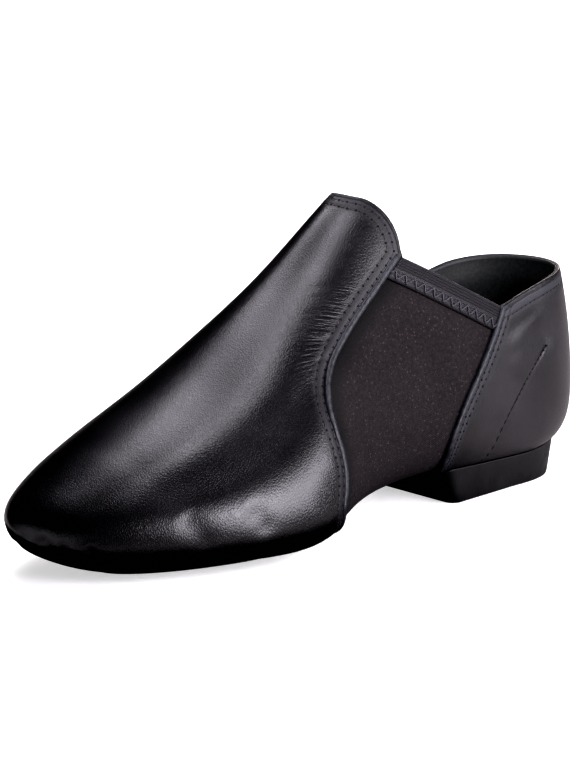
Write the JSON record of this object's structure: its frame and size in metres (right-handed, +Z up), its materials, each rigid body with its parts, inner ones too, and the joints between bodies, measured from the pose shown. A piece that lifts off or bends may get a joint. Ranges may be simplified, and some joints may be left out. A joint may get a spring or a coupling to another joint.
{
  "type": "jazz shoe",
  "caption": "Left slip-on jazz shoe: leather vamp and heel quarter over a stretch bootee, elastic collar tapes, split sole with a thin forefoot pad and a low heel.",
  "frame": {"origin": "on the floor, under the middle of the round of the heel, at the heel block's flat bottom", "axes": "+X towards the toe, +Y towards the little toe (lateral), +Z up from the floor"},
  "size_m": [0.2508, 0.092, 0.1182],
  "materials": {
    "stretch": "matt black knitted stretch fabric with a faint warm tone",
    "leather": "soft black glove leather with a satin gloss and fine grain",
    "binding": "rolled black leather edge, worn to a soft grey sheen",
    "elastic": "ribbed black elastic tape",
    "lining": "matt black lining cloth",
    "sole": "matt black sole, lightly brushed"
  },
  "bodies": {
    "root": {"upper": "stretch", "vamp": "leather", "vamp_binding": "binding", "quarter": "leather", "quarter_binding": "binding", "tape_lateral": "elastic", "tape_medial": "elastic", "insole": "lining", "forefoot_pad": "sole", "heel_block": "sole"}
  },
  "joints": []
}
